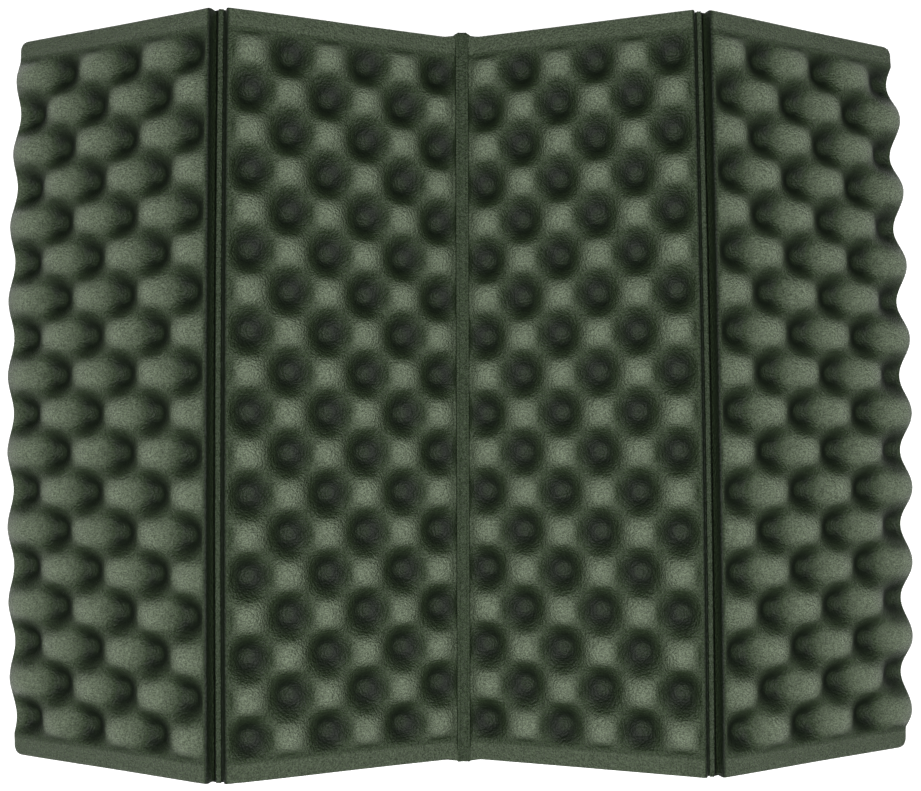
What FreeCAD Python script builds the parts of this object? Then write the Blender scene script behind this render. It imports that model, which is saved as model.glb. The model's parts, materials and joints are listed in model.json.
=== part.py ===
import FreeCAD, Part
import math
import os

# Folding foam pad of four dimpled panels, joined by three pressed hinges.
# The pad is modelled laid flat, then each panel is swung about its hinges
# into the standing zigzag.  X runs across the panels, Y along the hinges and
# Z up; the origin is on the ground, under the middle of the pad.
# Lengths are millimetres, angles degrees.

os.makedirs("parts", exist_ok=True)

# Pad
pad_length = 295.0          # along the hinges
hinge_pitch = 95.0          # from one hinge axis to the next, laid flat
overall_thickness = 10.4    # from the dimple undersides to the bump tops
sheet_thickness = 3.8       # foam between the two faces

# Egg-crate pattern of one panel
columns = 6
rows = 18
end_border = 9.0            # plain strip at both ends of every panel
bump_base_gap = 1.0         # between the feet of neighbouring bumps
bump_top = 7.6              # side of the square on a bump
pocket_wall = 2.2           # foam beside a pocket, at its mouth
pocket_floor = 4.2          # side of the square at the bottom of a pocket

# Hinges
ridge_groove = 2.4          # between the panels at an outer hinge
ridge_strip = 1.0           # plain foam between that groove and the dimples
valley_gap = 2.4            # between the panels at the centre hinge
lip_width = 2.2             # thick lip along a hinged edge
lip_step = 1.0              # the lip's height over the sheet, beside the fold
hinge_clearance = 0.4       # from a panel's face to the axis beside it
ridge_web = 1.4             # foam left at an outer hinge
valley_web = 1.8            # foam left at the centre hinge
web_play = 0.3              # between a web and the panel that swings on it
web_overhang = 1.2          # a web stands out this far past the panel ends
bead_width = 1.0            # raised line along the middle of an outer web
bead_height = 0.6

# Outer panels
corner_bevel = 3.0          # at the free corners

# Standing pose; the left outer panel's tilt follows from the ground
left_inner_tilt = 18.5
right_inner_tilt = 16.5
right_outer_tilt = 20.0

# Derived sizes
axis_step = overall_thickness + 2 * hinge_clearance
middle = hinge_clearance + overall_thickness / 2
relief = (overall_thickness - sheet_thickness) / 2
sheet_bottom = middle - sheet_thickness / 2
sheet_top = middle + sheet_thickness / 2
ridge_half = ridge_groove / 2
valley_half = valley_gap / 2
panel_width = hinge_pitch - ridge_half - valley_half
column_pitch = (panel_width - ridge_strip) / columns
row_pitch = (pad_length - 2 * end_border) / rows
half_length = pad_length / 2


def box(x0, x1, y0, y1, z0, z1):
    """Rectangular block between two opposite corners."""
    corner = FreeCAD.Vector(x0, y0, z0)
    return Part.makeBox(x1 - x0, y1 - y0, z1 - z0, corner)


def frustum(x, y, z_foot, z_tip, foot_x, foot_y, tip):
    """Four-sided block that narrows from its foot to a square tip."""
    dx, dy, dt = foot_x / 2, foot_y / 2, tip / 2
    rise = abs(z_tip - z_foot)
    block = Part.makeWedge(-dx, 0, -dy, -dt, -dt, dx, rise, dy, dt, dt)
    # A wedge narrows along +Y, so it is turned to point up or down.
    turn = 90 if z_tip > z_foot else -90
    block.rotate(FreeCAD.Vector(0, 0, 0), FreeCAD.Vector(1, 0, 0), turn)
    block.translate(FreeCAD.Vector(x, y, z_foot))
    return block


def cell_centres(x_pattern):
    """Centre of every cell, with True where the cell is a raised bump."""
    for row in range(rows):
        y = half_length - end_border - (row + 0.5) * row_pitch
        for column in range(columns):
            x = x_pattern + (column + 0.5) * column_pitch
            yield x, y, (row + column) % 2 == 0


def ridge_lip(x0, x1):
    """Lip that carries an outer hinge web, low on the panel."""
    low = hinge_clearance
    return box(x0, x1, -half_length, half_length, low, sheet_top + lip_step)


def valley_lip(x0, x1):
    """Lip that carries the centre hinge web, high on the panel."""
    high = hinge_clearance + overall_thickness
    return box(x0, x1, -half_length, half_length, sheet_bottom - lip_step, high)


def dimpled_panel(x_start, x_end, lip_at_start=None, lip_at_end=None):
    """Flat panel between two x positions, with a lip along each hinged edge."""
    x_pattern = x_start + (ridge_strip if lip_at_start is ridge_lip else 0)
    solids = [box(x_start, x_end, -half_length, half_length, sheet_bottom, sheet_top)]
    if lip_at_start:
        solids.append(lip_at_start(x_start, x_start + lip_width))
    if lip_at_end:
        solids.append(lip_at_end(x_end - lip_width, x_end))

    # A bump is a hollow frustum: its outside rises from the sheet, and its
    # pocket opens in the other face.  A dimple is the same thing upside down.
    foot_x = column_pitch - bump_base_gap
    foot_y = row_pitch - bump_base_gap
    mouth_x = foot_x - 2 * pocket_wall
    mouth_y = foot_y - 2 * pocket_wall
    pockets = []
    for x, y, raised in cell_centres(x_pattern):
        if raised:
            foot, mouth, rise = sheet_top, sheet_bottom, relief
        else:
            foot, mouth, rise = sheet_bottom, sheet_top, -relief
        solids.append(frustum(x, y, foot, foot + rise, foot_x, foot_y, bump_top))
        pockets.append(frustum(x, y, mouth, mouth + rise, mouth_x, mouth_y, pocket_floor))
    panel = solids[0].fuse(solids[1:]).cut(Part.makeCompound(pockets))
    return panel.removeSplitter()


def bevel_corners(panel, x_free, inward):
    """Cut both corners of a free edge at 45 degrees; inward is +1 or -1."""
    for side in (-1, 1):
        y = side * half_length
        points = [
            (x_free - inward, y + side),
            (x_free + inward * (corner_bevel + 1), y + side),
            (x_free - inward, y - side * (corner_bevel + 1)),
            (x_free - inward, y + side),
        ]
        wire = Part.makePolygon([FreeCAD.Vector(x, y_at, -1) for x, y_at in points])
        wedge = Part.Face(wire).extrude(FreeCAD.Vector(0, 0, axis_step + 2))
        panel = panel.cut(wedge)
    return panel


def along(angle, distance, height):
    """Point of a hinge section: distance out along a panel, height above it."""
    c, s = math.cos(math.radians(angle)), math.sin(math.radians(angle))
    return distance * c - height * s, distance * s + height * c


def prism(section, x, z):
    """Closed X-Z section about a point, drawn out along the hinge."""
    y = -half_length - web_overhang
    points = [FreeCAD.Vector(x + px, y, z + pz) for px, pz in section + section[:1]]
    face = Part.Face(Part.makePolygon(points))
    return face.extrude(FreeCAD.Vector(0, pad_length + 2 * web_overhang, 0))


def swing(shape, x, z, angle):
    """Turn a copy of a shape about a line along Y; positive lowers its +X side."""
    turned = shape.copy()
    turned.rotate(FreeCAD.Vector(x, 0, z), FreeCAD.Vector(0, 1, 0), angle)
    return turned


def turn_point(x, z, about_x, about_z, angle):
    """Where a point goes when swing() turns it about an axis."""
    c, s = math.cos(math.radians(angle)), math.sin(math.radians(angle))
    dx, dz = x - about_x, z - about_z
    return about_x + dx * c + dz * s, about_z - dx * s + dz * c


# Panels laid flat: outer hinge axes under the pad, centre axis over it.
ridge_x = hinge_pitch
ridge_inner = ridge_x - ridge_half
ridge_outer = ridge_x + ridge_half
free_edge = ridge_outer + panel_width
inner_left = dimpled_panel(-ridge_inner, -valley_half, ridge_lip, valley_lip)
inner_right = dimpled_panel(valley_half, ridge_inner, valley_lip, ridge_lip)
outer_left = dimpled_panel(-free_edge, -ridge_outer, None, ridge_lip)
outer_right = dimpled_panel(ridge_outer, free_edge, ridge_lip, None)
outer_left = bevel_corners(outer_left, -free_edge, 1)
outer_right = bevel_corners(outer_right, free_edge, -1)

# Inner panels swing about the centre axis and carry the outer axes with them.
inner_left = swing(inner_left, 0, axis_step, left_inner_tilt)
inner_right = swing(inner_right, 0, axis_step, -right_inner_tilt)
left_axis = turn_point(-ridge_x, 0, 0, axis_step, left_inner_tilt)
right_axis = turn_point(ridge_x, 0, 0, axis_step, -right_inner_tilt)

# The pad stands on the undersides of the last dimples, a little way in from
# the free edges.  Both sides reach the ground, so the higher ridge is steeper.
foot_reach = ridge_half + panel_width - (column_pitch - bump_top) / 2
foot_radius = math.hypot(foot_reach, hinge_clearance)
foot_angle = math.degrees(math.atan2(hinge_clearance, foot_reach))
drop = math.sin(math.radians(right_outer_tilt - foot_angle)) * foot_radius
drop += left_axis[1] - right_axis[1]
left_outer_tilt = math.degrees(math.asin(drop / foot_radius)) + foot_angle

# Outer panels follow the inner ones, then swing back down about their own axes.
outer_left = swing(outer_left, 0, axis_step, left_inner_tilt)
outer_right = swing(outer_right, 0, axis_step, -right_inner_tilt)
left_fold = left_inner_tilt + left_outer_tilt
right_fold = right_inner_tilt + right_outer_tilt
outer_left = swing(outer_left, *left_axis, -left_fold)
outer_right = swing(outer_right, *right_axis, right_fold)


def ridge_section(side, inner_tilt, outer_tilt):
    """Outer hinge web: two leaves that meet over the axis, with a bead."""
    # The inner leaf points to the pad's middle, on the opposite side of the
    # axis from the outer one.
    inner = 180 + inner_tilt
    outer = -outer_tilt
    inner_end = [along(inner, ridge_half, 0), along(inner, ridge_half, -ridge_web)]
    reach = ridge_half - web_play
    outer_end = [along(outer, reach, ridge_web), along(outer, reach, 0)]
    shoulder = bead_width / 2
    bead_foot_in = along(inner, shoulder, -ridge_web)
    bead_foot_out = along(outer, shoulder, ridge_web)
    top = max(bead_foot_in[1], bead_foot_out[1]) + bead_height
    bead = [(bead_foot_in[0] / 2, top), (bead_foot_out[0] / 2, top)]
    section = [(0, 0), *inner_end, bead_foot_in, *bead, bead_foot_out, *outer_end]
    return [(side * px, pz) for px, pz in section]


def valley_section():
    """Centre hinge web: two leaves that hang under the axis."""
    left = 180 - left_inner_tilt
    right = right_inner_tilt
    reach = valley_half - web_play
    return [
        (0, 0),
        along(right, reach, 0),
        along(right, reach, -valley_web),
        (0, -valley_web),
        along(left, valley_half, valley_web),
        along(left, valley_half, 0),
    ]


left_web = prism(ridge_section(-1, left_inner_tilt, left_outer_tilt), *left_axis)
right_web = prism(ridge_section(1, right_inner_tilt, right_outer_tilt), *right_axis)
centre_web = prism(valley_section(), 0, axis_step)

nodes = {
    "outer_left_panel": outer_left,
    "inner_left_panel": inner_left,
    "inner_right_panel": inner_right,
    "outer_right_panel": outer_right,
    "left_hinge_web": left_web,
    "centre_hinge_web": centre_web,
    "right_hinge_web": right_web,
}

# Move the origin to the ground, under the middle of the pad.
left_box = outer_left.optimalBoundingBox()
right_box = outer_right.optimalBoundingBox()
ground = min(left_box.ZMin, right_box.ZMin)
middle_x = (left_box.XMin + right_box.XMax) / 2
for name, shape in nodes.items():
    shape.translate(FreeCAD.Vector(-middle_x, 0, -ground))
    shape.exportStep("parts/" + name + ".step")
    b = shape.BoundBox
    print(f"{name}: {shape.Volume / 1000:.1f} cm3, valid {shape.isValid()},"
          f" {len(shape.Solids)} solid, z {b.ZMin:.1f} to {b.ZMax:.1f}")

print(f"ground left {left_box.ZMin:.3f}, right {right_box.ZMin:.3f}")
for name, axis in (("left", left_axis), ("centre", (0, axis_step)), ("right", right_axis)):
    print(f"{name} hinge axis x {axis[0] - middle_x:.3f}, z {axis[1] - ground:.3f}")
print(f"left outer tilt {left_outer_tilt:.3f}, cell {column_pitch:.2f} x {row_pitch:.2f}")
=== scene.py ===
"""Folding foam pad: looks for the four dimpled panels and the three hinges between them."""

import json
import math

import bpy
import numpy as np
from mathutils import Matrix, Vector


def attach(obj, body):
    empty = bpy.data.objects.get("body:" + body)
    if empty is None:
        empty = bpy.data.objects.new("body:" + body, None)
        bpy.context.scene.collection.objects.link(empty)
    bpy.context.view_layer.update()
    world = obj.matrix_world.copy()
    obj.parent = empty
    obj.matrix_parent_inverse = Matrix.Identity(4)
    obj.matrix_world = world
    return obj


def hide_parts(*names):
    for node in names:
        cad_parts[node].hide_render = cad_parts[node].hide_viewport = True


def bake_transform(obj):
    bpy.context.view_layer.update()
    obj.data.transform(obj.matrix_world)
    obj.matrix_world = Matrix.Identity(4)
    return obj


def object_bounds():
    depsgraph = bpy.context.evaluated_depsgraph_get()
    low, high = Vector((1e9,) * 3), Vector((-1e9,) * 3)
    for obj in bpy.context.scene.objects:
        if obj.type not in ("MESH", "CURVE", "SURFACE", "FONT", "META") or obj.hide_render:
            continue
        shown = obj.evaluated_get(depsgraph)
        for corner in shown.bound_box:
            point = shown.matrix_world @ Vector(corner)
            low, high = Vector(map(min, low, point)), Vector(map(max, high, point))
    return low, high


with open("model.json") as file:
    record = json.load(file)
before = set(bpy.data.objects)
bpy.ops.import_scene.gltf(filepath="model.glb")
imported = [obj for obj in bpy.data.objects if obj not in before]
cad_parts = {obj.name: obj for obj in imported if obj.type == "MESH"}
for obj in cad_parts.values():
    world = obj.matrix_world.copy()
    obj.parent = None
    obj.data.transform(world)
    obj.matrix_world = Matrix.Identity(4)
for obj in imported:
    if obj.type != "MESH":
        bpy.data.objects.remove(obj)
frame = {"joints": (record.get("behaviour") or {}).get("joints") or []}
cad_low, cad_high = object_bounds()
MM = 0.001

# --------------------------------------------------------------------------
# Foam panels.  Each one is closed-cell polyethylene foam, moulded hot between
# two matching dies, so every bump on one face is a dimple in the other.  The
# skin is satin and finely pebbled, and the free edges are cut after moulding.
# --------------------------------------------------------------------------

PAD_LENGTH = 295.0        # along the hinges
HINGE_PITCH = 95.0        # between neighbouring hinge axes
COLUMNS, ROWS = 6, 18
END_BORDER = 8.6          # plain strip at the ends of a panel
RIDGE_GAP = 1.0           # from a ridge axis to the panel's edge
VALLEY_GAP = 0.9          # from the valley axis to the panel's edge
RIDGE_STRIP = 1.3         # from a ridge edge to the first dimples
VALLEY_STRIP = 0.6        # from the valley edge to the first dimples
# At the left (-1) and right (1) free edges: how much of the last dimples is cut
# off, and how far the edge swells at a bump and draws in at a dimple.
FREE_TRIM = {-1: -0.4, 1: 2.4}
EDGE_WAVE = {-1: 1.6, 1: 1.0}
CORNER_RADIUS = 4.0       # at the four free corners
LOW, HIGH = 0.4, 10.8     # heights of the dimple undersides and the bump tops
SHEET = 2.8               # foam left under a dimple
RIB_DROP = 1.2            # the hinge ribs stay this far under the bump tops
AXIS_STEP = 11.2          # the valley axis stands this far over the ridge axes
BROADEN = 0.25            # share of the broad bump in the wave's shape
BUMP_SCATTER = 0.14       # spread of the bump heights
END_PRESS = 1.1           # the end borders are pressed this much thinner
END_ROUND, FREE_ROUND = 1.3, 1.6   # rounding of the cut edges
HINGE_ROUND = 1.2         # rounding of a hinged edge on the face that opens
HINGE_SETBACK = 0.9       # and how far that face drops there
STEP_ACROSS, STEP_ALONG = 0.82, 0.86  # spacing of the mesh lines

# Painted light and shade in the skin's colour, from 0 for painted shade to 1 for painted
# highlight.
PAINTED_WALL_SHADE = 0.3           # painted shade: share lost on a steep wall
PAINTED_FACING_LIGHT = {True: 0.45, False: 0.15}  # painted light on outer and inner panels' walls that face the middle
PAINTED_FLOOR_HIGHLIGHT = 0.3          # painted highlight on a dimple's floor
PAINTED_BORDER_LIGHT = 0.66        # painted light on the plain strips around the dimples
STRIP_SHARE = 0.85        # of that, along a ridge
GROOVE_PAINTED_SHADE = 0.3        # painted shade in a ridge groove: the share of the painted light left down there
RELIEF = HIGH - LOW - SHEET
CELL = (HINGE_PITCH - RIDGE_GAP - VALLEY_GAP - RIDGE_STRIP - VALLEY_STRIP) / COLUMNS
ROW = (PAD_LENGTH - 2 * END_BORDER) / ROWS

# The pad doesn't stand quite straight: its middle bows outward, its rows
# spread there, and the right half leans.
BOW_ACROSS = 0.0075
BOW_ALONG = 0.014
BOW_OUTER = 1.9
LEAN_RIGHT = 1.3
# Its length and place along the hinges also differ a little from line to line:
# free edge, ridge, valley, ridge, free edge.
LINES = (-2, -1, 0, 1, 2)
LINE_LENGTH = (0.993, 1.0, 1.002, 1.007, 0.990)
LINE_SHIFT = (0.0, 0.0, -0.6, 0.4, -0.6)

FOAM_PAINTED_HIGHLIGHT = "#7A8770"      # painted highlight on the bump tops
FOAM_MID = "#34432B"      # dark olive green
FOAM_PAINTED_SHADE = "#0A1806"     # painted shade in the dimples

joints = {j["name"]: j for j in frame["joints"]}
axis_at = {name: Vector(joints[name]["pos_m"]) / MM for name in joints}
fold_at_rest = {name: -joints[name]["range_deg"][0] for name in joints}


def inner_tilt(ridge):
    """Slope of an inner panel, in degrees, from where its two hinge axes are."""
    line = axis_at[ridge] - axis_at["centre_fold"]
    axes_slope = math.atan2(line.z, abs(line.x))
    return math.degrees(axes_slope + math.atan2(AXIS_STEP, HINGE_PITCH))


tilt_in = {-1: inner_tilt("left_fold"), 1: inner_tilt("right_fold")}
tilt_out = {
    -1: fold_at_rest["left_fold"] - tilt_in[-1],
    1: fold_at_rest["right_fold"] - tilt_in[1],
}
ridge_axis = {-1: axis_at["left_fold"], 1: axis_at["right_fold"]}


def place(side, outer, u, v, n):
    """Row-frame metres of points u out from a ridge axis, v along it and n over it."""
    slope = math.radians(tilt_out[side] if outer else tilt_in[side])
    run = u * math.cos(slope) + n * math.sin(slope)
    away = side if outer else -side
    x = ridge_axis[side].x + away * run
    z = ridge_axis[side].z - u * math.sin(slope) + n * math.cos(slope)
    s = v / (PAD_LENGTH / 2)
    belly = 1 - s * s
    x = x * (1 + BOW_ACROSS * belly)
    if outer:
        x = x + side * BOW_OUTER * belly * u / HINGE_PITCH
    if side > 0:
        x = x - LEAN_RIGHT * s * np.clip(x / HINGE_PITCH, 0, 1)
    across = side * (1 + u / HINGE_PITCH if outer else 1 - u / HINGE_PITCH)
    length = np.interp(across, LINES, LINE_LENGTH)
    y = v * (1 + BOW_ALONG * belly) * length + np.interp(across, LINES, LINE_SHIFT)
    return np.stack([x, y, z], -1) * MM


def ease(low, high, value):
    """0 below low, 1 above high, and smooth between them."""
    t = np.clip((value - low) / (high - low), 0, 1)
    return t * t * (3 - 2 * t)


def face_height(wave):
    """Share of the relief for a wave value: joined broad bumps and deep round dimples."""
    return BROADEN * ease(-0.92, 0.68, wave) + (1 - BROADEN) * (0.5 + 0.5 * wave)


def painted_light_and_shade(share, u_line, v_line, outer):
    """Painted light and shade, 0 to 1: painted highlight most on the bumps, less on the dimple
    floors and the walls that face the middle of the pad, and painted shade on the other walls."""
    along, across = np.gradient(share * RELIEF, v_line, u_line)
    facing = across if outer else -across
    # Painted shade on steep walls that run along the hinges or turn away from the middle.
    painted_wall_shade = PAINTED_WALL_SHADE * ease(0.35, 1.0, np.hypot(along, np.clip(-facing, 0, None)))
    # Painted light on the walls that face the middle of the pad, under the lamps.
    painted_facing_light = PAINTED_FACING_LIGHT[outer] * ease(0.1, 0.8, facing) * (1 - ease(0.1, 0.7, np.abs(along)))
    # Painted highlight on the dimple floors.
    floor = PAINTED_FLOOR_HIGHLIGHT * (1 - ease(0, 0.13, share))
    return share * (1 - painted_wall_shade) + painted_facing_light * (1 - share) + floor


def rounding(distance, radius):
    """Quarter circle: 0 at an edge, 1 from radius inward."""
    t = 1 - np.clip(distance / radius, 0, 1)
    return np.sqrt(1 - t * t)


def grid_lines(length, pitch):
    """Positions across a panel, close together at both edges and even between."""
    edge = np.cumsum([0.12, 0.2, 0.3, 0.4, 0.55])
    count = round((length - 2 * edge[-1]) / pitch)
    inside = np.linspace(edge[-1], length - edge[-1], count + 1)
    return np.concatenate([[0], edge[:-1], inside, length - edge[-2::-1], [length]])


def round_corner(from_u, from_v):
    """Pull the points of a square corner onto a round one; both run 0 to 1 outward."""
    a, b = np.clip(from_u, 0, 1), np.clip(from_v, 0, 1)
    both = (from_u > 0) & (from_v > 0)
    new_a = np.where(both, a * np.sqrt(1 - b * b / 2), from_u)
    new_b = np.where(both, b * np.sqrt(1 - a * a / 2), from_v)
    return new_a, new_b


def closed_slab(name, top, bottom, values_top, values_bottom, wall_rows=5):
    """Mesh of two facing point grids, joined by a wall around their border."""
    rows, cols = top.shape[:2]
    ring = [(0, j) for j in range(cols)] + [(i, cols - 1) for i in range(1, rows)]
    ring += [(rows - 1, j) for j in range(cols - 2, -1, -1)]
    ring += [(i, 0) for i in range(rows - 2, 0, -1)]
    ring_i, ring_j = np.array(ring).T
    points = [top.reshape(-1, 3), bottom.reshape(-1, 3)]
    values = [values_top.ravel(), values_bottom.ravel()]
    upper, lower = top[ring_i, ring_j], bottom[ring_i, ring_j]
    for k in range(1, wall_rows):
        share = k / wall_rows
        points.append(upper * (1 - share) + lower * share)
        value_top, value_bottom = values_top[ring_i, ring_j], values_bottom[ring_i, ring_j]
        values.append(value_top * (1 - share) + value_bottom * share)

    index = np.arange(rows * cols).reshape(rows, cols)
    corners = [index[:-1, :-1], index[:-1, 1:], index[1:, 1:], index[1:, :-1]]
    quads = np.stack(corners, -1).reshape(-1, 4)
    size = rows * cols
    loops = [index[ring_i, ring_j]]
    loops += [2 * size + k * len(ring) + np.arange(len(ring)) for k in range(wall_rows - 1)]
    loops += [size + index[ring_i, ring_j]]
    walls = [
        np.stack([a, b, np.roll(b, -1), np.roll(a, -1)], -1)
        for a, b in zip(loops[:-1], loops[1:])
    ]
    faces = np.concatenate([quads, quads[:, ::-1] + size] + walls)

    mesh = bpy.data.meshes.new(name)
    coordinates = np.concatenate(points)
    mesh.from_pydata(coordinates.tolist(), [], faces.tolist())
    # The relief attribute holds the painted light and shade for the colour ramp; it also sets
    # grain and roughness.
    relief = mesh.attributes.new("relief", "FLOAT", "POINT")
    relief.data.foreach_set("value", np.concatenate(values).astype(np.float32))
    piece = bpy.data.objects.new(name, mesh)
    bpy.context.scene.collection.objects.link(piece)
    tidy_normals(piece)
    return piece


def tidy_normals(piece):
    """Turn every face outward and shade it smooth."""
    bpy.context.view_layer.objects.active = piece
    piece.select_set(True)
    bpy.ops.object.mode_set(mode="EDIT")
    bpy.ops.mesh.select_all(action="SELECT")
    bpy.ops.mesh.normals_make_consistent(inside=False)
    bpy.ops.object.mode_set(mode="OBJECT")
    piece.select_set(False)
    piece.data.shade_smooth()


def foam_panel(name, side, outer, rng):
    """One dimpled panel, as a closed mesh in the row frame."""
    if outer:
        width = RIDGE_STRIP + COLUMNS * CELL - FREE_TRIM[side]
    else:
        width = HINGE_PITCH - RIDGE_GAP - VALLEY_GAP
    u_line = grid_lines(width, STEP_ACROSS)
    v_line = grid_lines(PAD_LENGTH, STEP_ALONG) - PAD_LENGTH / 2
    u, v = np.meshgrid(u_line, v_line)
    from_end = PAD_LENGTH / 2 - np.abs(v)

    # Egg-crate wave.  The chessboard runs on from panel to panel, so it starts
    # with a bump at the ridge on two of the panels and a dimple on the others.
    first = 1 if (side < 0) != outer else -1
    a = np.clip((u - RIDGE_STRIP) / CELL, 0, COLUMNS)
    b = np.clip((PAD_LENGTH / 2 - END_BORDER - v) / ROW, 0, ROWS)
    wave = first * np.sin(math.pi * a) * np.sin(math.pi * b)
    column = np.clip(a.astype(int), 0, COLUMNS - 1)
    row = np.clip(b.astype(int), 0, ROWS - 1)
    lift = rng.normal(0, BUMP_SCATTER, (ROWS, COLUMNS))[row, column] * np.abs(wave)
    top_share, bottom_share = face_height(wave), face_height(-wave)
    # Painted light and shade for both faces, carried to the colour ramp in the relief attribute.
    top_painted_light = painted_light_and_shade(top_share, u_line, v_line, outer)
    bottom_painted_light = painted_light_and_shade(bottom_share, u_line, v_line, outer)
    top = LOW + SHEET + RELIEF * top_share + lift
    bottom = HIGH - SHEET - RELIEF * bottom_share + lift

    # Slow unevenness of the whole panel.
    waves = rng.uniform(0, 2 * math.pi, 4)
    sag = 0.16 * np.sin(v / 31 + waves[0]) + 0.12 * np.sin(v / 17 + u / 40 + waves[1])
    sag += 0.10 * np.sin(u / 19 + waves[2]) + 0.08 * np.sin(u / 11 - v / 23 + waves[3])
    edge_hold = ease(0, 9, u)
    if not outer:
        edge_hold = edge_hold * ease(0, 9, width - u)
    top, bottom = top + sag * edge_hold, bottom + sag * edge_hold

    # The end borders are pressed thinner from below.
    border = 1 - ease(0, END_BORDER - 1.5, from_end)
    bottom = bottom + END_PRESS * border

    # Cut edges: a soft round over a short wall.
    middle, half = (top + bottom) / 2, (top - bottom) / 2
    keep = 0.55 + 0.45 * rounding(from_end, END_ROUND)
    if outer:
        keep = np.minimum(keep, 0.5 + 0.5 * rounding(width - u, FREE_ROUND))
    top, bottom = middle + half * keep, middle - half * keep

    # Hinged edges: the foam runs up to the rib of the valley, down to that of
    # a ridge, and is rounded over on the face where the fold opens.
    at_ridge = 1 - ease(0.15, 1.1, u)
    bottom = bottom + (LOW + RIB_DROP - bottom) * at_ridge
    top = top - HINGE_SETBACK * (1 - rounding(u, HINGE_ROUND))
    if not outer:
        at_valley = 1 - ease(0.1, 1.6 + 4 * border, width - u)
        top = top + (HIGH - RIB_DROP - top) * at_valley
        bottom = bottom + HINGE_SETBACK * (1 - rounding(width - u, HINGE_ROUND))

    # Outline: square, but an outer panel's free corners are round and its edge waves.
    flat_u, flat_v = u, v
    if outer:
        swell = -first * EDGE_WAVE[side] * np.sin(math.pi * b)
        reach_u = (u - (width - CORNER_RADIUS)) / CORNER_RADIUS
        reach_v = (CORNER_RADIUS - from_end) / CORNER_RADIUS
        new_u, new_v = round_corner(reach_u, reach_v)
        flat_u = width - CORNER_RADIUS + new_u * CORNER_RADIUS
        flat_u = flat_u + swell * ease(width - CELL, width, u)
        flat_v = np.sign(v) * (PAD_LENGTH / 2 - CORNER_RADIUS + new_v * CORNER_RADIUS)

    # Painted light on the plain strips at the ends and along a ridge, and painted shade down in
    # the ridge groove.
    end_strip = 1 - ease(END_BORDER - 2, END_BORDER + 1, from_end)
    plain = np.maximum(end_strip, STRIP_SHARE * (1 - ease(1.4, 2.8, u)))
    groove_painted_shade = GROOVE_PAINTED_SHADE + (1 - GROOVE_PAINTED_SHADE) * ease(0.2, 1.2, u)
    top_painted_light = np.maximum(top_painted_light, PAINTED_BORDER_LIGHT * plain) * groove_painted_shade
    points_top = place(side, outer, RIDGE_GAP + flat_u, flat_v, top)
    points_bottom = place(side, outer, RIDGE_GAP + flat_u, flat_v, bottom)
    return closed_slab(name, points_top, points_bottom, top_painted_light, bottom_painted_light)


def linear(colour):
    """Linear RGBA of an sRGB hex colour."""
    channels = [int(colour[i:i + 2], 16) / 255 for i in (1, 3, 5)]
    return [c / 12.92 if c <= 0.04045 else ((c + 0.055) / 1.055) ** 2.4 for c in channels] + [1]


def add(tree, kind, settings=None, **inputs):
    """Add a node.  Settings are its properties; inputs are its sockets' values or links,
    by name, or by place as i0, i1 and so on."""
    node = tree.nodes.new(kind)
    for key, value in (settings or {}).items():
        setattr(node, key, value)
    for key, value in inputs.items():
        numbered = key[0] == "i" and key[1:].isdigit()
        socket = node.inputs[int(key[1:]) if numbered else key.replace("_", " ")]
        if isinstance(value, bpy.types.NodeSocket):
            tree.links.new(value, socket)
        else:
            socket.default_value = value
    return node


def ramp(tree, value, stops):
    """Colour ramp over a value, from (position, colour) stops."""
    node = add(tree, "ShaderNodeValToRGB", i0=value)
    while len(node.color_ramp.elements) < len(stops):
        node.color_ramp.elements.new(0.5)
    for element, (position, colour) in zip(node.color_ramp.elements, stops):
        element.position, element.color = position, colour
    return node.outputs[0]


def grey(level):
    return [level, level, level, 1]


PEBBLE = 0.95             # size of the skin's pebbles
SPECK = 0.55              # and of the specks between them
CLOUD = 9.0               # the skin's tone drifts over this distance
CREASE = 3.4              # between the faint creases, drawn coarse enough to show
CREASE_WANDER = 2.5
GRAIN_DEPTH = 0.6         # height of the pebbles at full strength
DEEP_ROUGHER = 0.2        # added to the roughness down in the dimples


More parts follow.
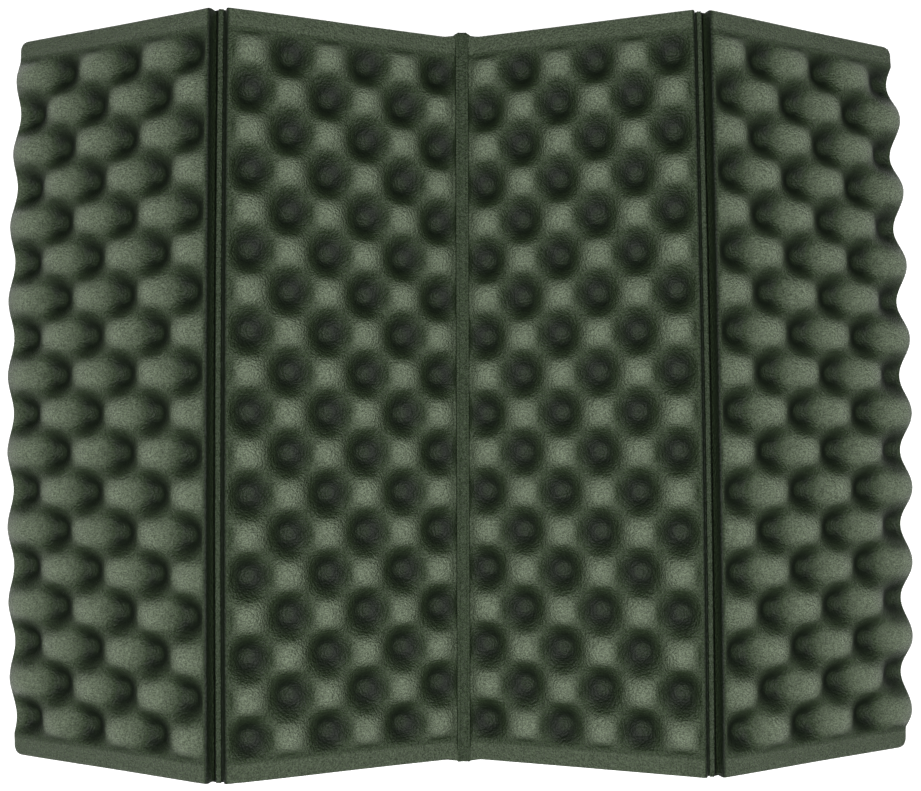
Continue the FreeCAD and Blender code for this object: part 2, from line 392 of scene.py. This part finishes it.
def foam_material(name, roughness, top, middle, deep):
    """Closed-cell polyethylene foam with a satin moulded skin.  The cells under it give
    it a fine pebbled sheen, and its highlights are broad and soft."""
    material = bpy.data.materials.new(name)
    material.use_nodes = True
    tree = material.node_tree
    tree.nodes.clear()
    where = add(tree, "ShaderNodeTexCoord").outputs["Object"]
    relief = add(tree, "ShaderNodeAttribute", {"attribute_name": "relief"}).outputs["Fac"]

    # Pebbles about 1 mm across with smaller specks between, and faint creases.
    pebble = add(tree, "ShaderNodeTexVoronoi", {"feature": "F1"},
                 Vector=where, Scale=1 / (PEBBLE * MM))
    small = add(tree, "ShaderNodeTexNoise", Vector=where, Scale=1 / (SPECK * MM), Detail=3.0)
    cloud = add(tree, "ShaderNodeTexNoise", Vector=where, Scale=1 / (CLOUD * MM), Detail=4.0)
    wander = add(tree, "ShaderNodeVectorMath", {"operation": "SCALE"},
                 i0=cloud.outputs["Color"], Scale=CREASE_WANDER * MM)
    moved = add(tree, "ShaderNodeVectorMath", {"operation": "ADD"},
                i0=where, i1=wander.outputs[0])
    crease = add(tree, "ShaderNodeTexVoronoi", {"feature": "DISTANCE_TO_EDGE"},
                 Vector=moved.outputs[0], Scale=1 / (CREASE * MM))
    crease_line = ramp(tree, crease.outputs["Distance"], [(0.0, grey(0)), (0.07, grey(1))])

    # Colour: painted highlight on the bump tops, painted shade in the dimples, clouded and
    # speckled.
    painted_light_colour = ramp(tree, relief, [(0.16, linear(deep)), (0.5, linear(middle)), (1.0, linear(top))])
    clouds = ramp(tree, cloud.outputs["Fac"], [(0.3, grey(0.8)), (0.7, grey(1))])
    mottled = add(tree, "ShaderNodeMix", {"data_type": "RGBA", "blend_type": "MULTIPLY"},
                  i0=0.5, i6=painted_light_colour, i7=clouds)
    specks = ramp(tree, small.outputs["Fac"], [(0.38, grey(0.3)), (0.62, grey(1))])
    speckled = add(tree, "ShaderNodeMix", {"data_type": "RGBA", "blend_type": "MULTIPLY"},
                   i0=0.75, i6=mottled.outputs[2], i7=specks)

    # Grain: raised pebbles and specks, sunk creases, and less of it in the dimples.
    height = add(tree, "ShaderNodeMath", {"operation": "MULTIPLY_ADD"},
                 i0=pebble.outputs["Distance"], i1=-0.9, i2=small.outputs["Fac"])
    height = add(tree, "ShaderNodeMath", {"operation": "MULTIPLY_ADD"},
                 i0=crease_line, i1=0.07, i2=height.outputs[0])
    grain = add(tree, "ShaderNodeMapRange", Value=relief, i1=0.1, i2=0.6, i3=0.35, i4=1.0)
    bump = add(tree, "ShaderNodeBump", Strength=grain.outputs[0],
               Distance=GRAIN_DEPTH * MM, Height=height.outputs[0])
    rough = add(tree, "ShaderNodeMapRange", Value=relief, i1=0.2, i2=0.8,
                i3=roughness + DEEP_ROUGHER, i4=roughness)
    shader = add(tree, "ShaderNodeBsdfPrincipled", Base_Color=speckled.outputs[2],
                 Roughness=rough.outputs[0], Normal=bump.outputs[0])
    shader.inputs["Specular IOR Level"].default_value = 0.3
    add(tree, "ShaderNodeOutputMaterial", Surface=shader.outputs[0])
    return material


panel_foam = foam_material("moulded_foam_satin", 0.42, FOAM_PAINTED_HIGHLIGHT, FOAM_MID, FOAM_PAINTED_SHADE)
rng = np.random.default_rng(18)
PANELS = [
    ("outer_left_foam", "outer_left", "outer_left_panel", -1, True),
    ("inner_left_foam", "inner_left", "inner_left_panel", -1, False),
    ("inner_right_foam", "inner_right", "inner_right_panel", 1, False),
    ("outer_right_foam", "outer_right", "outer_right_panel", 1, True),
]
for name, body, node, side, outer in PANELS:
    panel = foam_panel(name, side, outer, rng)
    panel.data.materials.append(panel_foam)
    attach(panel, body)
    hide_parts(node)

# --------------------------------------------------------------------------
# Hinges.  The dies press the foam almost flat along each fold, which leaves a
# tough thin web.  A ridge web lies at the bottom of its groove with a raised
# line along it; the valley web stands up as a rib with two fine seams.
# --------------------------------------------------------------------------

WEB_OVERHANG = 0.9        # past the panels' ends
WEB_THICKNESS = 1.1
WEB_HALF = 1.9            # half the width of a ridge web
TAB_HALF = 3.3            # and of its spread ends
BEAD_HALF = 0.4           # the raised line along a ridge web
BEAD_HEIGHT = 0.75
BEAD_POINTS = 9
RIB_HALF = 2.0            # half the width of the valley rib
RIB_CROWN = 0.3           # its top is this much higher in the middle
RIB_POINTS = 33
SEAMS = (-0.75, 0.95)     # across the rib
SEAM_DEPTH = 0.32
SEAM_HALF = 0.16
RIB_TAB = 1.3             # the valley rib's upper end stands out this far
WEB_LINES = 120           # sections along a web

FOAM_PRESSED = "#56634F"  # pressed foam, denser and paler


def web_mesh(name, sections, shares):
    """Closed strip through rings of section points, in metres; shares are the points'
    painted light and shade around a ring."""
    count = len(sections[0])
    points = [tuple(point) for section in sections for point in section]
    faces = []
    for k in range(len(sections) - 1):
        for i in range(count):
            j = (i + 1) % count
            faces.append((k * count + i, k * count + j, (k + 1) * count + j, (k + 1) * count + i))
    faces.append(tuple(range(count)))
    faces.append(tuple(range(len(points) - 1, len(points) - 1 - count, -1)))
    mesh = bpy.data.meshes.new(name)
    mesh.from_pydata(points, [], faces)
    relief = mesh.attributes.new("relief", "FLOAT", "POINT")
    relief.data.foreach_set("value", np.tile(np.array(shares, np.float32), len(sections)))
    piece = bpy.data.objects.new(name, mesh)
    bpy.context.scene.collection.objects.link(piece)
    tidy_normals(piece)
    return piece


def ridge_section(side, profile, v):
    """Section points of a ridge web at v along it."""
    return [
        place(side, across > 0, np.array(abs(across)), np.array(v), np.array(n))
        for across, n in profile
    ]


def ridge_profile(half):
    """Section of a ridge web, as (distance across the axis, height) points around it."""
    top = LOW + WEB_THICKNESS
    bead = [(BEAD_HALF * math.cos(t), top + BEAD_HEIGHT * math.sin(t))
            for t in np.linspace(math.pi, 0, BEAD_POINTS)]
    upper = [(-half, top), (-half / 2 - BEAD_HALF / 2, top - 0.05), *bead,
             (half / 2 + BEAD_HALF / 2, top - 0.05), (half, top)]
    lower = [(half, LOW), (half / 2, LOW - 0.25), (0.01, LOW - 0.35),
             (-half / 2, LOW - 0.25), (-half, LOW)]
    return upper + lower


pressed_foam = foam_material("pressed_foam_satin", 0.44, FOAM_PRESSED, FOAM_MID, FOAM_PAINTED_SHADE)
end = PAD_LENGTH / 2
web_lines = np.concatenate([
    [-end - WEB_OVERHANG, -end - 0.1],
    np.linspace(-end + 0.3, end - 0.3, WEB_LINES),
    [end + 0.1, end + WEB_OVERHANG],
])
# Painted light and shade on a ridge web: a painted highlight along the bead's crest, painted
# shade beside it down in the groove and on its underside.
bead_painted_light = [0.2 + 0.5 * math.sin(t) for t in np.linspace(math.pi, 0, BEAD_POINTS)]
ridge_painted_light_and_shade = [0.1, 0.1] + bead_painted_light + [0.1, 0.1] + [0.3] * 5
for name, node, side, inner, outer in [
    ("left_hinge_line", "left_hinge_web", -1, "inner_left", "outer_left"),
    ("right_hinge_line", "right_hinge_web", 1, "inner_right", "outer_right"),
]:
    sections = [
        ridge_section(side, ridge_profile(TAB_HALF if abs(v) > end else WEB_HALF), v)
        for v in web_lines
    ]
    web = web_mesh(name, sections, ridge_painted_light_and_shade)
    web.data.materials.append(pressed_foam)
    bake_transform(web)
    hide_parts(node)


def valley_profile():
    """Section of the valley rib, as (distance across, height) points around it."""
    crest = HIGH - RIB_DROP
    upper = []
    for across in np.linspace(-RIB_HALF, RIB_HALF, RIB_POINTS):
        height = crest + RIB_CROWN * (1 - (across / RIB_HALF) ** 2)
        for seam in SEAMS:
            height -= SEAM_DEPTH * math.exp(-((across - seam) / SEAM_HALF) ** 2)
        upper.append((across, height))
    lower = [(RIB_HALF, crest - WEB_THICKNESS), (0.7, crest - WEB_THICKNESS - 0.1),
             (-0.7, crest - WEB_THICKNESS - 0.1), (-RIB_HALF, crest - WEB_THICKNESS)]
    return upper + lower


profile = valley_profile()
rib_lines = np.concatenate([
    [-end - 0.3, -end + 0.1],
    np.linspace(-end + 1, end - 1, WEB_LINES),
    [end - 0.1, end + 0.3, end + RIB_TAB],
])
sections = []
for v in rib_lines:
    spread = np.interp(v, [end - 2, end, end + RIB_TAB], [1, 1.5, 0.6])
    sections.append([
        place(1 if across > 0 else -1, False,
              np.array(HINGE_PITCH - abs(across) * spread), np.array(v), np.array(n))
        for across, n in profile
    ])
# The rib's top gets a mid paleness and its underside painted shade.
rib = web_mesh("centre_hinge_rib", sections, [0.62] * RIB_POINTS + [0.3] * 4)
rib.data.materials.append(pressed_foam)
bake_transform(rib)
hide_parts("centre_hinge_web")

# --------------------------------------------------------------------------
# Floor, light and camera.  A pale sheet lit through from below, as on a light
# table, one soft lamp over the pad, and a camera that looks almost straight down.
# --------------------------------------------------------------------------

FLOOR_WHITE = "#F6F6F6"
FLOOR_SIZE = 8            # metres
LIT_THROUGH = 0.4         # light that comes up through the sheet

paper = bpy.data.materials.new("matt_white_paper")
paper.use_nodes = True
sheet = paper.node_tree.nodes["Principled BSDF"].inputs
sheet["Base Color"].default_value = linear(FLOOR_WHITE)
sheet["Roughness"].default_value = 0.9
sheet["Emission Color"].default_value = (1, 1, 1, 1)
sheet["Emission Strength"].default_value = LIT_THROUGH
bpy.ops.mesh.primitive_plane_add(size=FLOOR_SIZE, location=(0, 0, cad_low.z - 0.3 * MM))
floor = bpy.context.object
floor.name = "floor_sheet"
floor.data.materials.append(paper)


def soft_lamp(name, place_at, aim, size, power):
    """Softbox of the given width and depth, aimed at a point."""
    data = bpy.data.lights.new(name, "AREA")
    data.shape, data.energy = "RECTANGLE", power
    data.size, data.size_y = size
    lamp = bpy.data.objects.new(name, data)
    lamp.location = place_at
    lamp.rotation_euler = (Vector(aim) - Vector(place_at)).to_track_quat("-Z", "Y").to_euler()
    bpy.context.scene.collection.objects.link(lamp)


soft_lamp("over_softbox", (-0.02, -0.12, 0.9), (0, 0, 0), (0.36, 0.36), 9.5)
soft_lamp("left_softbox", (-0.72, -0.12, 0.62), (0, 0, 0), (0.45, 0.5), 0.6)
soft_lamp("right_softbox", (0.72, -0.12, 0.62), (0, 0, 0), (0.45, 0.5), 0.6)

world = bpy.data.worlds.new("studio")
world.use_nodes = True
world.node_tree.nodes["Background"].inputs["Color"].default_value = (1, 1, 1, 1)
world.node_tree.nodes["Background"].inputs["Strength"].default_value = 0.06
bpy.context.scene.world = world
bpy.context.scene.view_settings.view_transform = "Standard"

IMAGE_WIDTH = 921
FOCAL_PIXELS = 1012.6
SENSOR = 36.0
camera_data = bpy.data.cameras.new("camera")
camera_data.sensor_width = SENSOR
camera_data.lens = FOCAL_PIXELS / IMAGE_WIDTH * SENSOR
camera = bpy.data.objects.new("camera", camera_data)
camera.matrix_world = (
    Matrix.Translation(Vector((-10.2, -11.2, 425.4)) * MM)
    @ Matrix.Rotation(-0.0023, 4, "Z")
    @ Matrix.Rotation(0.0252, 4, "X")
    @ Matrix.Rotation(-0.0203, 4, "Y")
)
bpy.context.scene.collection.objects.link(camera)
bpy.context.scene.camera = camera
